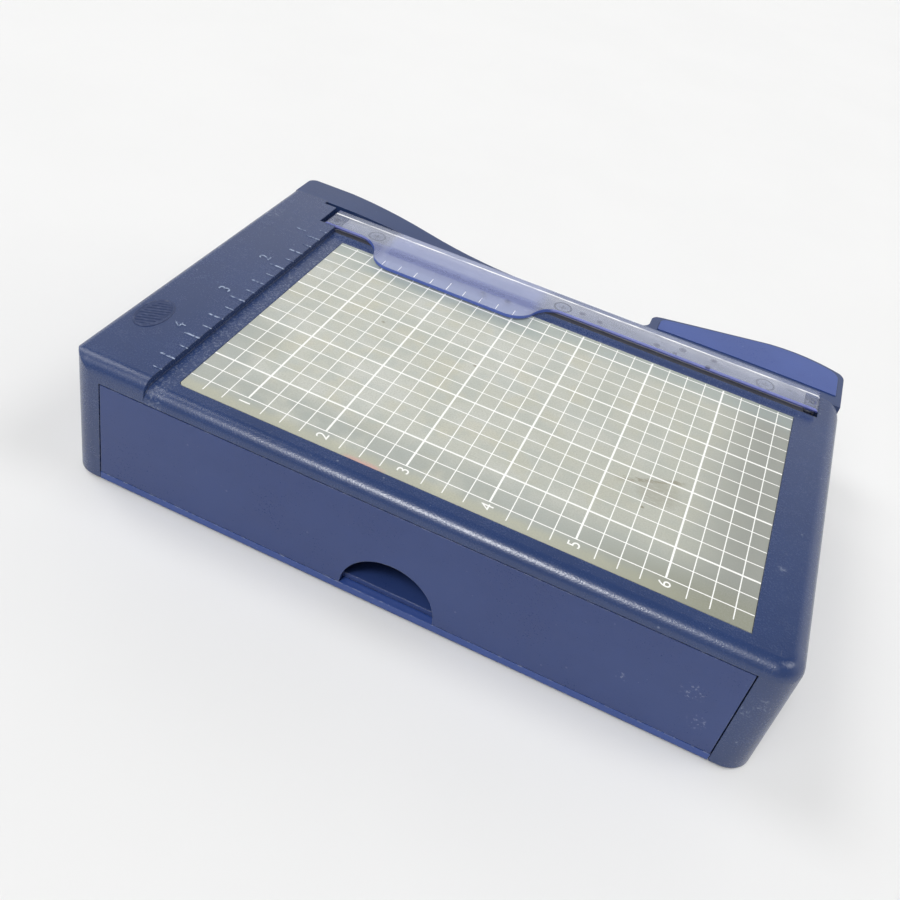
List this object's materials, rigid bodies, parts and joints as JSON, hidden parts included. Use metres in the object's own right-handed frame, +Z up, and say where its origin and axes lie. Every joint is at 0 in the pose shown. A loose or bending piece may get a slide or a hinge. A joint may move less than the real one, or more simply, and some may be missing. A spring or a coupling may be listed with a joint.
{
  "type": "paper trimmer",
  "caption": "Desk paper trimmer: navy plastic body with a printed measuring deck, spring-lifted clear guard, hinged blade arm with a flared handle, and a storage drawer below.",
  "frame": {"origin": "on the table, under the middle of the whole trimmer's outline", "axes": "+X runs to the right along the blade, +Y runs back from the drawer front to the blade arm, +Z is up"},
  "size_m": [0.2184, 0.1582, 0.0463],
  "materials": {
    "navy_plastic": "satin moulded plastic with a fine texture",
    "blue_plastic": "brighter blue moulded plastic",
    "frosted_panel": "frosted translucent panel with a printed white grid",
    "clear_guard": "clear plastic tinted lavender",
    "blade_steel": "ground steel",
    "zinc_steel": "zinc plated",
    "spring_steel": "drawn spring steel",
    "bronze": "turned bronze",
    "rubber": "matt rubber",
    "tape": "double-sided tape"
  },
  "bodies": {
    "base": {"housing": "navy_plastic", "base_plate": "blue_plastic", "base_screws": "zinc_steel", "rubber_feet": "rubber", "grid_panel": "frosted_panel", "panel_tape": "tape", "bed_knife": "blade_steel", "bed_knife_screws": "zinc_steel", "guard_springs": "spring_steel", "pivot_bolt": "zinc_steel", "pivot_washer": "zinc_steel", "disc_spring": "spring_steel", "pivot_nut": "zinc_steel", "stop_pin": "zinc_steel"},
    "drawer": {"drawer": "navy_plastic"},
    "guard": {"guard": "clear_guard", "guard_clips": "zinc_steel"},
    "arm": {"blade_arm": "navy_plastic", "handle_grip": "blue_plastic", "cutting_blade": "blade_steel", "blade_screws": "zinc_steel", "pivot_bush": "bronze"}
  },
  "joints": [
    {"name": "arm_hinge", "type": "hinge", "parent": "base", "child": "arm", "pos_m": [-0.0992, 0.05315, 0.0335], "axis": [0, -1, 0], "range_deg": [0, 60]},
    {"name": "drawer_slide", "type": "slide", "parent": "base", "child": "drawer", "axis": [0, -1, 0], "range_m": [0, 0.0873]},
    {"name": "guard_press", "type": "slide", "parent": "base", "child": "guard", "axis": [0, 0, -1], "range_m": [0, 0.0006], "stiffness_N_per_m": 600, "springref_m": -0.002, "deforming": ["guard_springs"]}
  ]
}
